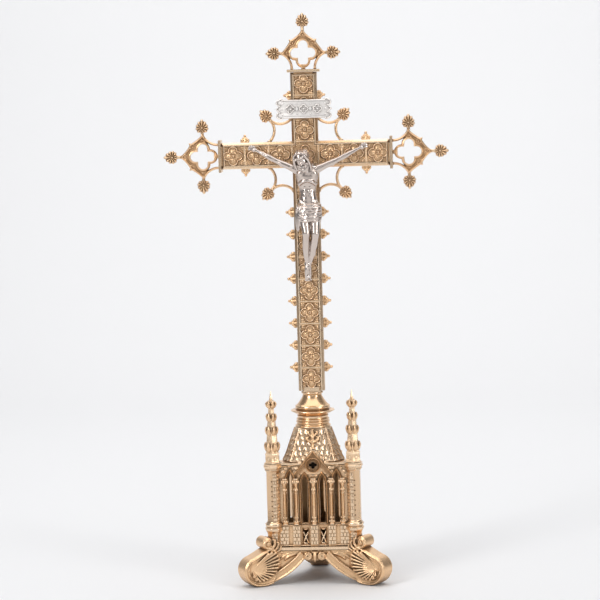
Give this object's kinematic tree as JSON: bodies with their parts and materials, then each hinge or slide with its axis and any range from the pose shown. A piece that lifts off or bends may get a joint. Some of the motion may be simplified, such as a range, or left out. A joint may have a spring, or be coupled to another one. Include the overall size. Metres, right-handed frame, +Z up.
{
  "type": "altar cross",
  "caption": "Gothic standing crucifix: panelled cross with pierced quatrefoil ends and figure, on a turned knop and three-footed traceried tower base",
  "frame": {"origin": "on the standing surface, at the middle of the object's box; the tie rod and the cross's own axis stand 18.9 mm in front of it, at Y = -0.0189", "axes": "+Z up along the shaft, +X towards the right arm as seen from the front, +Y towards the back; the figure faces -Y"},
  "size_m": [0.3054, 0.1443, 0.61],
  "materials": {
    "brass": "polished antique brass with darkened recesses",
    "silver_plate": "bright silver plate",
    "rod_steel": "plain turned steel"
  },
  "bodies": {
    "root": {"arm_crockets": "brass", "brace_leaf_lower_left": "brass", "brace_leaf_lower_right": "brass", "brace_leaf_upper_left": "brass", "brace_leaf_upper_right": "brass", "brace_lower_left": "brass", "brace_lower_right": "brass", "brace_upper_left": "brass", "brace_upper_right": "brass", "collar_left": "brass", "collar_right": "brass", "collar_top": "brass", "corner_studs": "rod_steel", "corpus": "silver_plate", "corpus_nails": "silver_plate", "cross_back": "brass", "cross_front": "brass", "eave_plate": "brass", "floor_plate": "brass", "foot_back": "brass", "foot_front_left": "brass", "foot_front_right": "brass", "gable_finial_front": "brass", "gable_finial_rear_left": "brass", "gable_finial_rear_right": "brass", "knop": "brass", "leaves_left": "brass", "leaves_right": "brass", "leaves_top": "brass", "plaque_rivets": "silver_plate", "rod_nut": "rod_steel", "rod_washer": "rod_steel", "roof": "brass", "seat_ring": "brass", "shaft_crockets_left": "brass", "shaft_crockets_right": "brass", "shaft_tenon": "brass", "skirt_front": "brass", "skirt_rear_left": "brass", "skirt_rear_right": "brass", "spire_back": "brass", "spire_front_left": "brass", "spire_front_right": "brass", "terminal_left": "brass", "terminal_right": "brass", "terminal_top": "brass", "tie_rod": "rod_steel", "title_plaque": "silver_plate", "turret_back": "brass", "turret_front_left": "brass", "turret_front_right": "brass", "wall_front": "brass", "wall_rear_left": "brass", "wall_rear_right": "brass"}
  },
  "joints": []
}
